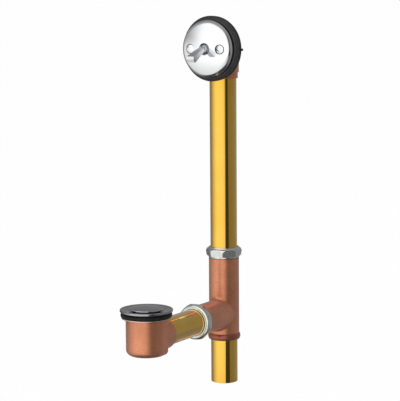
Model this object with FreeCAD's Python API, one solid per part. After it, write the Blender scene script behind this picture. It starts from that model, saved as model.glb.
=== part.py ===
import FreeCAD, Part
import math
import os
from FreeCAD import Vector

# Bath waste and overflow with a trip lever and a pop-up plug.
# The origin is the centre of the tailpiece's lower end. +Z is up the overflow tube, and the bath lies towards -Y.

# Tubes: 1-1/2 inch drawn brass
tube_r = 19.05
tube_wall = 1.4
socket_gap = 0.15
pipe_bore_r = tube_r - tube_wall

# Main places
arm_z = 100.8
drain_reach = 200.6
plate_rise = 379.6
flange_rise = 40.3
drain_y = -drain_reach
plate_z = arm_z + plate_rise
flange_z = arm_z + flange_rise

# Slip nuts: octagonal and drafted, under a rounded top
nut_height = 16.5
nut_sides = 8
top_nut_turn = 32.0
side_nut_turn = 22.5
nut_foot_flats = 44.6
nut_draft = 0.25
nut_foot_r = 22.1
nut_belly_r = 25.75
nut_belly_h = 8.0
nut_top_r = 21.0
nut_lid = 1.9
nut_tube_gap = 0.35
nut_foot_gap = 0.3
thread_gap = 0.15
washer_height = 2.6

# Tee
tee_r = 21.66
tee_neck_r = 20.5
branch_r = 21.3
tee_top_rise = 92.0
tee_foot_drop = 38.1
branch_reach = 80.0
branch_collar_length = 4.0
slip_depth = 38.0
branch_slip_depth = 30.0
tail_socket_depth = 12.0
tail_fit_length = 57.0
tail_neck_r = 18.8
bead_r = 23.3
bead_height = 9.0
crotch_fillet = 5.0
crotch_depth = 30.0
crotch_margin = 1.0
crotch_least_rise = 5.0
bore_step = 0.01

# Elbow
elbow_foot_rise = 337.0
elbow_collar_r = 21.1
elbow_collar_height = 8.3
elbow_socket_depth = 15.0
elbow_step_rise = 2.0
elbow_r = 22.6
elbow_wall = 2.6
elbow_shoulder_rise = 10.0
mouth_y = -24.1
mouth_r = 25.0
mouth_outer_r = 27.8
mouth_flange_r = 33.0
mouth_flange_thickness = 3.0
lug_r = 5.6
lug_length = 12.0

# Overflow gasket, measured back from the face plate's rim
rim_y = -40.2
gasket_flare = 8.3
gasket_front_r = 40.4
gasket_r = 45.4
gasket_bore_r = 27.6
gasket_rib_depth = 0.6
gasket_tab_reach = 2.4
gasket_tab_half_height = 1.7
gasket_tab_depth = 3.4
gasket_tab_drop = 0.9

# Face plate, a thin domed shell with a rounded edge
plate_rim_r = 40.0
plate_edge_r = 33.5
plate_edge_depth = 6.6
plate_shoulder_r = 37.4
plate_shoulder_depth = 4.5
plate_depth = 10.2
plate_wall = 1.2
lever_hole_r = 8.4
screw_offset = 23.9
inlet_half_width = 15.0
inlet_depth = 2.4
inlet_height = 6.0

# Face plate screws, raised heads set down into countersinks
screw_head_r = 6.2
screw_head_height = 2.9
screw_crown = 1.1
screw_sink = 0.8
screw_r = 2.8
screw_point = 1.0
screw_length = 31.0
screw_recess_width = 1.5
screw_recess_length = 6.6
screw_recess_depth = 1.6

# Trip lever
pivot_depth = 4.4
pivot_pin_r = 1.5
pin_running_gap = 0.05
hub_r = 4.5
hub_half_width = 5.4
handle_half_width = 5.8
handle_root_half_width = 4.8
neck_half_width = 3.4
neck_height = 4.0
handle_root = 8.4
handle_reach = 40.4
handle_drop = 8.3
handle_slope = 19.4
handle_low_slope = 30.0
handle_tip_height = 4.2
handle_tip_depth = 8.2
handle_tip_chamfer = 1.5
handle_tip_foot = 5.5
inner_arm = 44.0
lever_half_swing = 19.0
inner_arm_half_width = 2.5
inner_arm_half_height = 3.2
eye_r = 4.4

# Lever bracket
ear_gap = 0.4
ear_thickness = 1.2
ear_half_height = 4.6
ear_back = 4.2
bracket_base_r = 13.0
bracket_base_thickness = 0.9
bracket_dome_gap = 0.05
pin_proud = 0.3
spring_thickness = 0.6
spring_half_width = 3.4
spring_hub_gap = 0.3
spring_bend = 1.0
spring_land = 3.2
spring_reach = 2.6
spring_lip = 2.0

# Linkage
yoke_cheek = 1.5
yoke_side_gap = 0.3
yoke_half_depth = 4.2
yoke_drop = 13.0
yoke_bridge = 6.0
rod_r = 2.4
barrel_flats = 9.0
barrel_length = 30.0
barrel_rise = 226.0
lock_nut_flats = 9.0
lock_nut_height = 4.0
rod_thread_gap = 0.05
coil_r = 7.5
coil_wire_r = 1.1
coil_pitch = 4.4
coil_turns = 6
coil_seat_r = 8.6
coil_seat_thickness = 2.0
coil_rocker_gap = 0.6

# Rocker arm
rocker_from_drain = 58.6
rocker_rod_r = 2.5
rocker_half_swing = 6.0
foot_bend_r = 4.0
foot_floor_gap = 0.35
rocker_tail_half_width = 6.0
rocker_tail_offset = 0.9
rocker_v_half_angle = 40.0
rocker_shoulder_bend = 8.0
rocker_eye_bend = 20.0
rocker_front_share = 0.86
rocker_eye_run = 14.0
rocker_eye_rise = 1.5
rocker_flat_run = 9.0
rocker_eye_drop = 6.0
rocker_eye_r = 4.2
rocker_eye_half_width = 1.6
rocker_eye_shift = 0.3
rocker_eye_slack = 0.5

# Waste shoe
shoe_lip_r = 33.5
shoe_lip_thickness = 1.9
shoe_lip_drop = 10.3
shoe_r = 28.0
shoe_side_length = 9.6
shoe_back_r = 26.2
shoe_bottom_drop = 22.0
shoe_front_fillet = 3.5
shoe_side_fillet = 7.5
shoe_wall = 2.4
shoe_socket_r = 22.0
shoe_socket_reach = 39.6
shoe_slip_depth = 15.5
shoe_thread_depth = 20.0

# Drain flange and its gasket
flange_r = 35.7
flange_edge = 3.3
flange_edge_round = 1.2
flange_dish_r = 24.6
flange_dish_drop = 1.5
flange_seat_drop = 4.8
flange_body_r = 23.3
flange_bore_r = 19.0
flange_body_length = 25.0
gasket_ring_r = 34.7
drain_thread_gap = 0.2

# Plug
cap_r = 22.85
cap_edge = 1.3
cap_rise = 0.9
cap_crown = 1.3
cap_boss_r = 6.5
cap_boss_length = 5.0
seal_r = 21.4
seal_thickness = 1.9
seal_gap = 0.4
stem_r = 4.0
stem_nut_flats = 13.0
stem_nut_height = 4.0
guide_bore_gap = 0.5
guide_height = 13.0
guide_top_drop = 9.0
guide_wing_half = 0.9
guide_hub_r = 6.0
fork_half_width = 4.6
fork_half_depth = 4.2
fork_slot_gap = 0.35
fork_height = 13.0
fork_roof = 4.0
fork_pin_r = 1.5
fork_pin_gap = 0.35
plug_lift_slop = 0.6


def outline(points):
    """Closed face in the XZ plane from (r, h) points; an arc is ((mid), (end))."""
    edges = []
    here = Vector(points[0][0], 0, points[0][1])
    for step in points[1:] + [points[0]]:
        if isinstance(step[0], tuple):
            mid, end = step
            there = Vector(end[0], 0, end[1])
            edges.append(Part.Arc(here, Vector(mid[0], 0, mid[1]), there).toShape())
        else:
            there = Vector(step[0], 0, step[1])
            if here.distanceToPoint(there) > 1e-6:
                edges.append(Part.makeLine(here, there))
        here = there
    return Part.Face(Part.Wire(edges))


def turned(points):
    return outline(points).revolve(Vector(0, 0, 0), Vector(0, 0, 1), 360)


def crown_mid(radius, height, top):
    """Middle of a dome's arc between (0, top) and (radius, height), for a ball centred on the axis."""
    drop = top - height
    ball = (radius ** 2 + drop ** 2) / (2 * drop)
    half = math.asin(radius / ball) / 2
    return ball * math.sin(half), top - ball + ball * math.cos(half)


def facing_bath(shape, y, z=0.0):
    """Turns a piece modelled along +Z so that it points to -Y, and moves it to (0, y, z)."""
    moved = shape.copy()
    moved.rotate(Vector(0, 0, 0), Vector(1, 0, 0), 90)
    moved.translate(Vector(0, y, z))
    return moved


def side_plate(points, half_width):
    """Solid with an outline in the YZ plane and equal widths each side of the middle plane."""
    corners = [Vector(-half_width, y, z) for y, z in points]
    return Part.Face(Part.makePolygon(corners + corners[:1])).extrude(Vector(2 * half_width, 0, 0))


def post(radius, z_low, z_high, x=0.0, y=0.0):
    return Part.makeCylinder(radius, z_high - z_low, Vector(x, y, z_low), Vector(0, 0, 1))


def cross_pin(radius, half_width, y, z):
    return Part.makeCylinder(radius, 2 * half_width, Vector(-half_width, y, z), Vector(1, 0, 0))


def bath_bar(radius, y_back, y_front, z, x=0.0):
    return Part.makeCylinder(radius, y_back - y_front, Vector(x, y_back, z), Vector(0, -1, 0))


def tube(z_low, z_high):
    return post(tube_r, z_low, z_high).cut(post(pipe_bore_r, z_low, z_high))


def prism(flats, sides, height, turn=0.0):
    """Upright prism with its flats at half the stated size from the middle."""
    corner = flats / 2 / math.cos(math.pi / sides)
    points = []
    for i in range(sides):
        angle = 2 * math.pi * i / sides + math.radians(turn)
        points.append(Vector(corner * math.cos(angle), corner * math.sin(angle), 0))
    return Part.Face(Part.makePolygon(points + points[:1])).extrude(Vector(0, 0, height))


def swung(y, z, degrees):
    """Point (y, z) turned about the X axis through the origin, +Y towards +Z."""
    a = math.radians(degrees)
    return y * math.cos(a) - z * math.sin(a), y * math.sin(a) + z * math.cos(a)


def dome_height(radius):
    """Height of the plate's outer face over its rim, at a radius from its middle."""
    drop = plate_depth - plate_edge_depth
    ball = (plate_edge_r ** 2 + drop ** 2) / (2 * drop)
    return plate_depth - ball + math.sqrt(ball ** 2 - radius ** 2)


# Worked-out places
tail_top_z = arm_z - tee_foot_drop + tail_socket_depth
tee_foot_z = arm_z - tee_foot_drop
tee_top_z = arm_z + tee_top_rise
riser_foot_z = tee_top_z - slip_depth
branch_end_y = -branch_reach
arm_back_y = branch_end_y + branch_slip_depth
nut_set_back = nut_height - nut_lid - washer_height
neck_length = nut_set_back + nut_foot_gap
elbow_foot_z = arm_z + elbow_foot_rise
riser_top_z = elbow_foot_z + elbow_socket_depth
gasket_depth = mouth_y - rim_y
plate_face_y = rim_y - plate_depth
pivot_y = plate_face_y + pivot_depth
pivot_z = plate_z
bracket_front_y = rim_y - dome_height(bracket_base_r) + plate_wall + bracket_dome_gap
bracket_back_y = bracket_front_y + bracket_base_thickness
pin_dy, pin_dz = swung(inner_arm, 0, lever_half_swing)
link_y = pivot_y + pin_dy
link_z = pivot_z + pin_dz
shoe_socket_end = drain_y + shoe_socket_reach
arm_front_y = shoe_socket_end - shoe_slip_depth
rocker_y = drain_y + rocker_from_drain
foot_axis_z = arm_z - pipe_bore_r + foot_floor_gap + foot_bend_r + rocker_rod_r
rod_rise = arm_z - foot_axis_z
tail_y = link_y - rocker_tail_offset
swing = math.radians(rocker_half_swing)
rocker_tail_reach = (tail_y - rocker_y + rod_rise * math.sin(swing)) / math.cos(swing)
tail_dz = swung(rocker_tail_reach, rod_rise, rocker_half_swing)[1]
tail_z = foot_axis_z + tail_dz
eye_dy, eye_dz = swung(drain_y - rocker_y, rod_rise - rocker_eye_drop, rocker_half_swing)
fork_y = drain_y
fork_z = foot_axis_z + eye_dz
coil_foot_z = tail_z + rocker_rod_r + coil_rocker_gap
gasket_top_z = flange_z - flange_edge
shoe_top_z = flange_z - shoe_lip_drop
shoe_floor_z = arm_z - shoe_bottom_drop


def octagon(flats, turn, height):
    corner = flats / 2 / math.cos(math.pi / nut_sides)
    points = []
    for i in range(nut_sides):
        angle = 2 * math.pi * i / nut_sides + math.radians(turn)
        points.append(Vector(corner * math.cos(angle), corner * math.sin(angle), height))
    return Part.makePolygon(points + points[:1])


def slip_nut(turn):
    """Nut on its foot at h = 0, with the lid and its tube hole at the top."""
    low_mid = ((nut_foot_r + nut_belly_r) / 2 + 0.4, nut_belly_h * 0.41)
    top_mid = (nut_belly_r - 0.85, (nut_belly_h + nut_height) / 2 + 0.35)
    barrel = turned([
        (0, 0),
        (nut_foot_r, 0),
        (low_mid, (nut_belly_r, nut_belly_h)),
        (top_mid, (nut_top_r, nut_height)),
        (0, nut_height),
    ])
    top_flats = nut_foot_flats + 2 * nut_draft * nut_height
    body = Part.makeLoft([octagon(nut_foot_flats, turn, 0), octagon(top_flats, turn, nut_height)], True, True)
    body = body.common(barrel)
    body = body.cut(post(tee_neck_r + thread_gap, 0, nut_height - nut_lid))
    return body.cut(post(tube_r + nut_tube_gap, 0, nut_height))


def slip_washer():
    """Bevelled washer between the casting's end at h = 0 and the nut's lid."""
    outer = tee_neck_r - thread_gap
    return turned([
        (tube_r + socket_gap, 0),
        (outer, 0),
        (outer, washer_height * 0.45),
        (outer - 1.0, washer_height),
        (tube_r + socket_gap, washer_height),
    ])


def make_tailpiece():
    """Plain tube, sized down a little at the top where it is brazed into the tee."""
    return turned([
        (pipe_bore_r, 0),
        (tube_r, 0),
        (tube_r, tail_fit_length),
        (tail_neck_r, tail_fit_length + 0.3),
        (tail_neck_r, tail_top_z),
        (pipe_bore_r, tail_top_z),
    ])


def make_tee():
    run = turned([
        (0, tee_foot_z),
        (tee_r, tee_foot_z),
        ((bead_r, tee_foot_z + bead_height / 2), (tee_r, tee_foot_z + bead_height)),
        (tee_r, tee_top_z - neck_length),
        (tee_neck_r, tee_top_z - neck_length),
        (tee_neck_r, tee_top_z),
        (0, tee_top_z),
    ])
    branch = facing_bath(turned([
        (0, 0),
        (branch_r, 0),
        (branch_r, branch_reach - neck_length - branch_collar_length),
        (tee_r, branch_reach - neck_length - branch_collar_length + 1.5),
        (tee_r, branch_reach - neck_length),
        (tee_neck_r, branch_reach - neck_length),
        (tee_neck_r, branch_reach),
        (0, branch_reach),
    ]), 0, arm_z)
    outer = run.fuse(branch)
    crotch = []
    for edge in outer.Edges:
        room = edge.BoundBox
        beside_run = -crotch_depth < room.YMin and room.YMax < -crotch_margin
        if beside_run and room.ZLength > crotch_least_rise:
            crotch.append(edge)
    outer = outer.makeFillet(crotch_fillet, crotch)
    riser_way = turned([
        (0, tee_foot_z),
        (tail_neck_r + socket_gap, tee_foot_z),
        (tail_neck_r + socket_gap, tail_top_z),
        (pipe_bore_r, tail_top_z),
        (pipe_bore_r, riser_foot_z),
        (tube_r + socket_gap, riser_foot_z),
        (tube_r + socket_gap, tee_top_z),
        (0, tee_top_z),
    ])
    arm_way = facing_bath(turned([
        (0, 0),
        (pipe_bore_r - bore_step, 0),
        (pipe_bore_r - bore_step, -arm_back_y),
        (tube_r + socket_gap, -arm_back_y),
        (tube_r + socket_gap, branch_reach),
        (0, branch_reach),
    ]), 0, arm_z)
    return outer.cut(riser_way.fuse(arm_way))


def make_elbow():
    shoulder_z = plate_z + elbow_shoulder_rise
    inner_r = elbow_r - elbow_wall
    outer = post(elbow_collar_r, elbow_foot_z, elbow_foot_z + elbow_collar_height)
    outer = outer.fuse(post(elbow_r, elbow_foot_z + elbow_collar_height, shoulder_z))
    outer = outer.fuse(Part.makeSphere(elbow_r, Vector(0, 0, shoulder_z)))
    flange_back_y = mouth_y + mouth_flange_thickness
    throat = Part.makeCone(elbow_r - 0.6, mouth_outer_r, -flange_back_y, Vector(0, 0, plate_z), Vector(0, -1, 0))
    outer = outer.fuse(throat)
    outer = outer.fuse(bath_bar(mouth_flange_r, flange_back_y, mouth_y, plate_z))
    for side in (-1, 1):
        outer = outer.fuse(bath_bar(lug_r, mouth_y + lug_length, mouth_y, plate_z, side * screw_offset))
    hollow = post(inner_r, riser_top_z + elbow_step_rise, shoulder_z)
    hollow = hollow.fuse(Part.makeSphere(inner_r, Vector(0, 0, shoulder_z)))
    mouth = Part.makeCone(inner_r - 0.6, mouth_r, -mouth_y, Vector(0, 0, plate_z), Vector(0, -1, 0))
    for side in (-1, 1):
        mouth = mouth.cut(bath_bar(lug_r, mouth_y + lug_length, mouth_y, plate_z, side * screw_offset))
    outer = outer.cut(hollow).cut(mouth)
    outer = outer.cut(post(tube_r + socket_gap, elbow_foot_z, riser_top_z))
    outer = outer.cut(post(pipe_bore_r, elbow_foot_z, riser_top_z + elbow_step_rise + 1))
    for side in (-1, 1):
        outer = outer.cut(bath_bar(screw_r + 0.1, mouth_y + lug_length, mouth_y, plate_z, side * screw_offset))
    return outer


def make_gasket():
    """Flared ring, modelled from its back face at h = 0 to the face plate's rim."""
    top = gasket_depth
    full = top - gasket_flare
    rib = gasket_rib_depth
    flare_points = []
    steps = 3
    for i in range(steps):
        low = full + gasket_flare * i / steps
        high = full + gasket_flare * (i + 1) / steps
        r_low = gasket_r + (gasket_front_r - gasket_r) * i / steps
        r_high = gasket_r + (gasket_front_r - gasket_r) * (i + 1) / steps
        flare_points.append((((r_low + r_high) / 2 + rib, (low + high) / 2), (r_high, high)))
    ring = turned([
        (gasket_bore_r, 0),
        (gasket_r - 1, 0),
        ((gasket_r - 0.3, 0.3), (gasket_r, 1)),
        (gasket_r, full),
    ] + flare_points + [
        (gasket_bore_r, top),
    ])
    ring = facing_bath(ring, mouth_y, plate_z)
    for side in (-1, 1):
        tab = Part.makeBox(
            gasket_tab_reach + 2, gasket_tab_depth, 2 * gasket_tab_half_height,
            Vector(gasket_r - 2, mouth_y - gasket_tab_depth, plate_z - gasket_tab_drop - gasket_tab_half_height))
        if side < 0:
            tab = tab.mirror(Vector(0, 0, 0), Vector(1, 0, 0))
        ring = ring.fuse(tab)
    return ring


def plate_profile(inset):
    """Dome outline from the middle to the rim, set in by a wall's thickness."""
    top = plate_depth - inset
    edge_r = plate_edge_r - inset * 0.3
    edge_h = plate_edge_depth - inset * 0.95
    rim_r = plate_rim_r - inset
    shoulder = (plate_shoulder_r - inset * 0.75, plate_shoulder_depth - inset * 0.65)
    return [
        (0, top),
        (crown_mid(edge_r, edge_h, top), (edge_r, edge_h)),
        (shoulder, (rim_r, 0)),
    ]


def screw_cone(extra, low, high):
    """Cone with the taper of the screw's head, made wider by a given amount."""
    foot = dome_height(screw_offset) - screw_sink - screw_head_height
    slope = (screw_head_r - screw_r) / screw_head_height
    low_r = screw_r + extra + slope * (low - foot)
    high_r = screw_r + extra + slope * (high - foot)
    return Part.makeCone(low_r, high_r, high - low, Vector(0, 0, low))


def make_face_plate():
    shell = turned(plate_profile(0) + [(0, 0)]).cut(turned(plate_profile(plate_wall) + [(0, 0)]))
    seat = dome_height(screw_offset)
    foot = seat - screw_sink - screw_head_height
    for side in (-1, 1):
        cup = screw_cone(plate_wall, foot + 0.6, seat - plate_wall + 0.3)
        sink = screw_cone(0, foot, seat + 3)
        for piece in (cup, sink):
            piece.translate(Vector(side * screw_offset, 0, 0))
        shell = shell.fuse(cup).cut(sink)
    shell = shell.cut(post(lever_hole_r, 0, plate_depth + 1))
    inlet = Part.makeBox(
        2 * inlet_half_width, inlet_height, inlet_depth,
        Vector(-inlet_half_width, -plate_rim_r - 1, 0))
    return facing_bath(shell.cut(inlet), rim_y, plate_z)


def make_screws():
    edge = dome_height(screw_offset) - screw_sink
    screws = []
    for side in (-1, 1):
        screw = turned([
            (0, edge - screw_length),
            (screw_r - screw_point, edge - screw_length),
            (screw_r, edge - screw_length + screw_point),
            (screw_r, edge - screw_head_height),
            (screw_head_r, edge),
            (crown_mid(screw_head_r, edge, edge + screw_crown), (0, edge + screw_crown)),
        ])
        floor = edge + screw_crown - screw_recess_depth
        long_half = screw_recess_length / 2
        short_half = screw_recess_width / 2
        for a, b in ((long_half, short_half), (short_half, long_half)):
            screw = screw.cut(Part.makeBox(2 * a, 2 * b, 2 * screw_recess_depth, Vector(-a, -b, floor)))
        screw.translate(Vector(side * screw_offset, 0, 0))
        screws.append(facing_bath(screw, rim_y, plate_z))
    return Part.Compound(screws)


def make_lever():
    """Handle that widens to its tip, a round hub, and the inner arm with its eye."""
    tip_y = -handle_reach
    root_y = -handle_root
    root_top = -handle_drop + math.tan(math.radians(handle_slope)) * (root_y - tip_y)
    low_y = tip_y + handle_tip_foot
    low_z = -handle_drop - handle_tip_depth
    root_low = low_z + math.tan(math.radians(handle_low_slope)) * (root_y - low_y)
    handle = side_plate([
        (root_y, root_top),
        (tip_y, -handle_drop),
        (tip_y, -handle_drop - handle_tip_height),
        (tip_y + handle_tip_chamfer, low_z),
        (low_y, low_z),
        (root_y, root_low),
    ], handle_half_width)
    plan = [
        Vector(-handle_half_width, tip_y, 0),
        Vector(handle_half_width, tip_y, 0),
        Vector(handle_root_half_width, root_y, 0),
        Vector(-handle_root_half_width, root_y, 0),
    ]
    wedge = Part.Face(Part.makePolygon(plan + plan[:1])).extrude(Vector(0, 0, 2 * handle_reach))
    wedge.translate(Vector(0, 0, -handle_reach))
    handle = handle.common(wedge)
    neck = side_plate([
        (root_y - 1.0, root_top - 0.5),
        (root_y - 1.0, root_top - neck_height),
        (-1.0, -hub_r + 0.6),
        (1.0, hub_r - 0.3),
        (-2.0, hub_r - 0.45),
    ], neck_half_width)
    hub = cross_pin(hub_r, hub_half_width, 0, 0)
    eye_y, eye_z = swung(inner_arm, 0, lever_half_swing)
    up_y, up_z = swung(0, inner_arm_half_height, lever_half_swing)
    arm = side_plate([
        (up_y, up_z), (eye_y + up_y, eye_z + up_z), (eye_y - up_y, eye_z - up_z), (-up_y, -up_z),
    ], inner_arm_half_width)
    lever = handle.fuse(neck).fuse(hub).fuse(arm)
    lever = lever.fuse(cross_pin(eye_r, inner_arm_half_width, eye_y, eye_z))
    lever = lever.cut(cross_pin(pivot_pin_r + pin_running_gap, hub_half_width, 0, 0))
    lever = lever.cut(cross_pin(pivot_pin_r + pin_running_gap, inner_arm_half_width, eye_y, eye_z))
    lever.translate(Vector(0, pivot_y, pivot_z))
    return lever


def make_bracket():
    base = bath_bar(bracket_base_r, bracket_back_y, bracket_front_y, plate_z)
    bracket = base.cut(bath_bar(lever_hole_r, bracket_back_y, bracket_front_y, plate_z))
    ear_x = hub_half_width + ear_gap
    for side in (-1, 1):
        ear = Part.makeBox(
            ear_thickness, pivot_y + ear_back - bracket_front_y, 2 * ear_half_height,
            Vector(ear_x, bracket_front_y, plate_z - ear_half_height))
        foot = Part.makeBox(
            lever_hole_r - ear_x + ear_thickness, bracket_base_thickness, 2 * ear_half_height,
            Vector(ear_x, bracket_front_y, plate_z - ear_half_height))
        ear = ear.fuse(foot)
        if side < 0:
            ear = ear.mirror(Vector(0, 0, 0), Vector(1, 0, 0))
        bracket = bracket.fuse(ear)
    return bracket.cut(cross_pin(pivot_pin_r, ear_x + ear_thickness + pin_proud, pivot_y, pivot_z))


def make_pivot_pin():
    """Pin that stands a little proud of both ears."""
    return cross_pin(pivot_pin_r, hub_half_width + ear_gap + ear_thickness + pin_proud, pivot_y, pivot_z)


def strip(path, thickness, half_width):
    """Bent strip of even thickness; the path is its lower side, in the YZ plane."""
    headings = []
    for start, end in zip(path, path[1:]):
        run = math.hypot(end[0] - start[0], end[1] - start[1])
        headings.append(((end[0] - start[0]) / run, (end[1] - start[1]) / run))
    upper = []
    for i, (y, z) in enumerate(path):
        before = headings[max(i - 1, 0)]
        after = headings[min(i, len(headings) - 1)]
        scale = thickness / (1 + before[0] * after[0] + before[1] * after[1])
        upper.append((y - (before[1] + after[1]) * scale, z + (before[0] + after[0]) * scale))
    return side_plate(path + upper[::-1], half_width)


def make_tension_spring():
    """Leaf on the back of the bracket's base that runs under the hub; modelled above it, then turned over."""
    low = pivot_z + hub_r + spring_hub_gap
    leaf = strip([
        (bracket_back_y, pivot_z + lever_hole_r + spring_land),
        (bracket_back_y, low + spring_bend),
        (bracket_back_y + spring_bend, low),
        (pivot_y + spring_reach, low),
        (pivot_y + spring_reach + spring_lip, low + spring_bend),
    ], spring_thickness, spring_half_width)
    leaf.rotate(Vector(0, pivot_y, pivot_z), Vector(0, 1, 0), 180)
    return leaf


def make_yoke():
    inner = inner_arm_half_width + yoke_side_gap
    outer = inner + yoke_cheek
    low = -yoke_drop - yoke_bridge
    blank = side_plate([
        (-yoke_half_depth, 0), (-yoke_half_depth, low), (yoke_half_depth, low), (yoke_half_depth, 0),
    ], outer).fuse(cross_pin(yoke_half_depth, outer, 0, 0))
    gap = Part.makeBox(
        2 * inner, 4 * yoke_half_depth, yoke_drop + 2 * yoke_half_depth,
        Vector(-inner, -2 * yoke_half_depth, -yoke_drop))
    yoke = blank.cut(gap)
    yoke = yoke.cut(cross_pin(pivot_pin_r, outer, 0, 0))
    yoke = yoke.cut(post(rod_r, low, -yoke_drop))
    yoke.translate(Vector(0, link_y, link_z))
    return yoke


def make_linkage_pin():
    return cross_pin(pivot_pin_r, inner_arm_half_width + yoke_side_gap + yoke_cheek + pin_proud, link_y, link_z)


barrel_low_z = arm_z + barrel_rise
barrel_top_z = barrel_low_z + barrel_length
rod_overlap = 10.0


def make_upper_rod():
    return post(rod_r, barrel_top_z - rod_overlap, link_z - yoke_drop, 0, link_y)


def make_lock_nut():
    nut = prism(lock_nut_flats, 6, lock_nut_height).cut(post(rod_r + rod_thread_gap, 0, lock_nut_height))
    nut.translate(Vector(0, link_y, barrel_top_z))
    return nut


def make_barrel():
    barrel = prism(barrel_flats, 6, barrel_length).cut(post(rod_r + rod_thread_gap, 0, barrel_length))
    barrel.translate(Vector(0, link_y, barrel_low_z))
    return barrel


coil_height = coil_pitch * coil_turns
coil_top_z = coil_foot_z + coil_height + 2 * coil_wire_r


def make_lower_rod():
    """Rod with the disc that the coil hangs from, and a short guide inside the coil."""
    rod = post(rod_r, coil_top_z - coil_height * 0.5, barrel_low_z + rod_overlap, 0, link_y)
    return rod.fuse(post(coil_seat_r, coil_top_z, coil_top_z + coil_seat_thickness, 0, link_y))


def make_coil():
    helix = Part.makeHelix(coil_pitch, coil_height, coil_r)
    ring = Part.Wire(Part.Circle(Vector(coil_r, 0, 0), Vector(0, 1, 0), coil_wire_r).toShape())
    coil = Part.Wire(helix.Edges).makePipeShell([ring], True, False)
    coil.translate(Vector(0, link_y, coil_foot_z + coil_wire_r))
    return coil


def bent_rod(points, bend_r, radius):
    """Round rod in the YZ plane through the given points, with an arc at each inner point."""
    edges = []
    here = Vector(0, *points[0])
    for i in range(1, len(points) - 1):
        corner = Vector(0, *points[i])
        back = (Vector(0, *points[i - 1]) - corner).normalize()
        ahead = (Vector(0, *points[i + 1]) - corner).normalize()
        half = back.getAngle(ahead) / 2
        setback = bend_r[i - 1] / math.tan(half)
        start = corner + back * setback
        end = corner + ahead * setback
        middle = (back + ahead).normalize()
        apex = corner + middle * (bend_r[i - 1] / math.sin(half) - bend_r[i - 1])
        edges.append(Part.makeLine(here, start))
        edges.append(Part.Arc(start, apex, end).toShape())
        here = end
    edges.append(Part.makeLine(here, Vector(0, *points[-1])))
    path = Part.Wire(edges)
    heading = Vector(0, *points[1]) - Vector(0, *points[0])
    section = Part.Wire(Part.Circle(Vector(0, *points[0]), heading, radius).toShape())
    return path.makePipeShell([section], True, False)


def make_rocker():
    """Bent rod, laid out level and then swung about its foot to the plug's closed place."""
    rise = rod_rise
    v_slope = math.tan(math.radians(rocker_v_half_angle))
    apex_z = -foot_bend_r / math.cos(math.radians(rocker_v_half_angle))
    run = (rise - apex_z) / v_slope
    eye_y = drain_y - rocker_y - rocker_eye_shift
    eye_z = rise - rocker_eye_drop
    front_run = run * rocker_front_share
    rod = bent_rod([
        (rocker_tail_reach, rise),
        (run, rise),
        (0, apex_z),
        (-front_run, apex_z + front_run * v_slope),
        (eye_y + rocker_eye_run, eye_z + rocker_eye_rise),
        (eye_y + rocker_eye_r, eye_z),
    ], [rocker_shoulder_bend, foot_bend_r, rocker_shoulder_bend, rocker_eye_bend], rocker_rod_r)
    rod = rod.fuse(cross_pin(rocker_rod_r, rocker_tail_half_width, rocker_tail_reach, rise))
    rod = rod.fuse(cross_pin(rocker_eye_r, rocker_eye_half_width, eye_y, eye_z))
    slot_r = fork_pin_r + fork_pin_gap
    for shift in (-rocker_eye_slack, rocker_eye_slack):
        rod = rod.cut(cross_pin(slot_r, rocker_rod_r, eye_y + shift, eye_z))
    for side in (-1, 1):
        flat = Part.makeBox(
            rocker_rod_r, rocker_eye_r + rocker_flat_run, 4 * rocker_eye_r,
            Vector(rocker_eye_half_width, eye_y - rocker_eye_r, eye_z - 2 * rocker_eye_r))
        if side < 0:
            flat = flat.mirror(Vector(0, 0, 0), Vector(1, 0, 0))
        rod = rod.cut(flat)
    rod.rotate(Vector(0, 0, 0), Vector(1, 0, 0), rocker_half_swing)
    rod.translate(Vector(0, rocker_y, foot_axis_z))
    return rod


def d_block(radius, side_length, z_low, z_high):
    """Round front with straight sides that run back along +Y."""
    half = Part.makeBox(2 * radius, side_length, z_high - z_low, Vector(-radius, 0, z_low))
    front = post(radius, z_low, z_high).common(
        Part.makeBox(2 * radius, radius, z_high - z_low, Vector(-radius, -radius, z_low)))
    return front.fuse(half).removeSplitter()


def make_shoe():
    lip_low = shoe_top_z - shoe_lip_thickness
    block = d_block(shoe_r, shoe_side_length, shoe_floor_z, lip_low)
    sides = [e for e in block.Edges if abs(e.BoundBox.ZMax - shoe_floor_z) < 0.01 and e.BoundBox.XLength < 0.01]
    block = block.makeFillet(shoe_side_fillet, sides)
    block.translate(Vector(0, drain_y, 0))
    cup = turned([
        (0, shoe_floor_z),
        (shoe_back_r - shoe_front_fillet, shoe_floor_z),
        (shoe_back_r, shoe_floor_z + shoe_front_fillet),
        (shoe_back_r, lip_low - 1.5),
        (shoe_r + 1.5, lip_low),
        (shoe_lip_r - 0.4, lip_low),
        ((shoe_lip_r, lip_low + shoe_lip_thickness / 2), (shoe_lip_r - 0.4, shoe_top_z)),
        (0, shoe_top_z),
    ])
    cup.translate(Vector(0, drain_y, 0))
    outer = block.fuse(cup).fuse(bath_bar(shoe_socket_r, shoe_socket_end, drain_y, arm_z))
    thread_r = flange_body_r + drain_thread_gap
    floor = shoe_floor_z + shoe_wall
    hollow = post(thread_r, shoe_top_z - shoe_thread_depth, shoe_top_z, 0, drain_y)
    hollow = hollow.fuse(post(shoe_back_r - shoe_wall - 0.6, floor, shoe_top_z - shoe_thread_depth, 0, drain_y))
    outer = outer.cut(hollow)
    outer = outer.cut(bath_bar(pipe_bore_r, shoe_socket_end, drain_y, arm_z))
    return outer.cut(bath_bar(tube_r + socket_gap, shoe_socket_end, arm_front_y, arm_z))


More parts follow.
